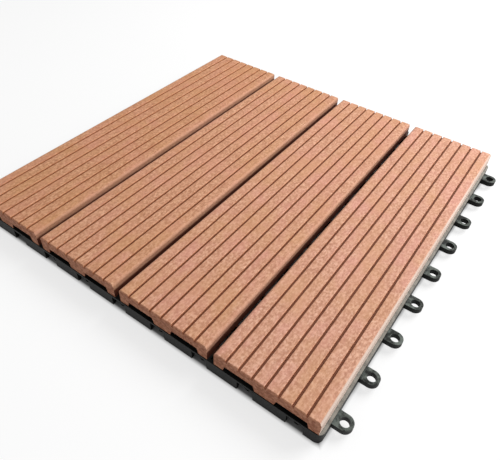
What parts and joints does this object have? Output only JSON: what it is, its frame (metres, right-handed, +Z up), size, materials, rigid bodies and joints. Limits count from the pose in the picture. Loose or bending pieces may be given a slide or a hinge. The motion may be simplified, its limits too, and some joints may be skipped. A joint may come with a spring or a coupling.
{
  "type": "interlocking deck tile",
  "caption": "Square interlocking deck tile with grooved wood-plastic slats screwed to a moulded plastic grid that has loops on two sides and pegs on the other two.",
  "frame": {"origin": "centre of the tile on the plane that its feet stand on; half a module from each of the four module edges", "axes": "+Z up out of the walking surface, +Y along the slats, +X across the slats; loops stand out on the +X and +Y sides, pegs are on the -X and -Y sides"},
  "size_m": [0.3098, 0.3098, 0.021],
  "materials": {
    "base_plastic": "matt, dark grey",
    "slat_composite": "brushed wood-plastic composite, light reddish brown",
    "screw_steel": "zinc plated"
  },
  "bodies": {
    "root": {"base_grid": "base_plastic", "slat_1": "slat_composite", "slat_2": "slat_composite", "slat_3": "slat_composite", "slat_4": "slat_composite", "fixing_screws": "screw_steel"}
  },
  "joints": []
}
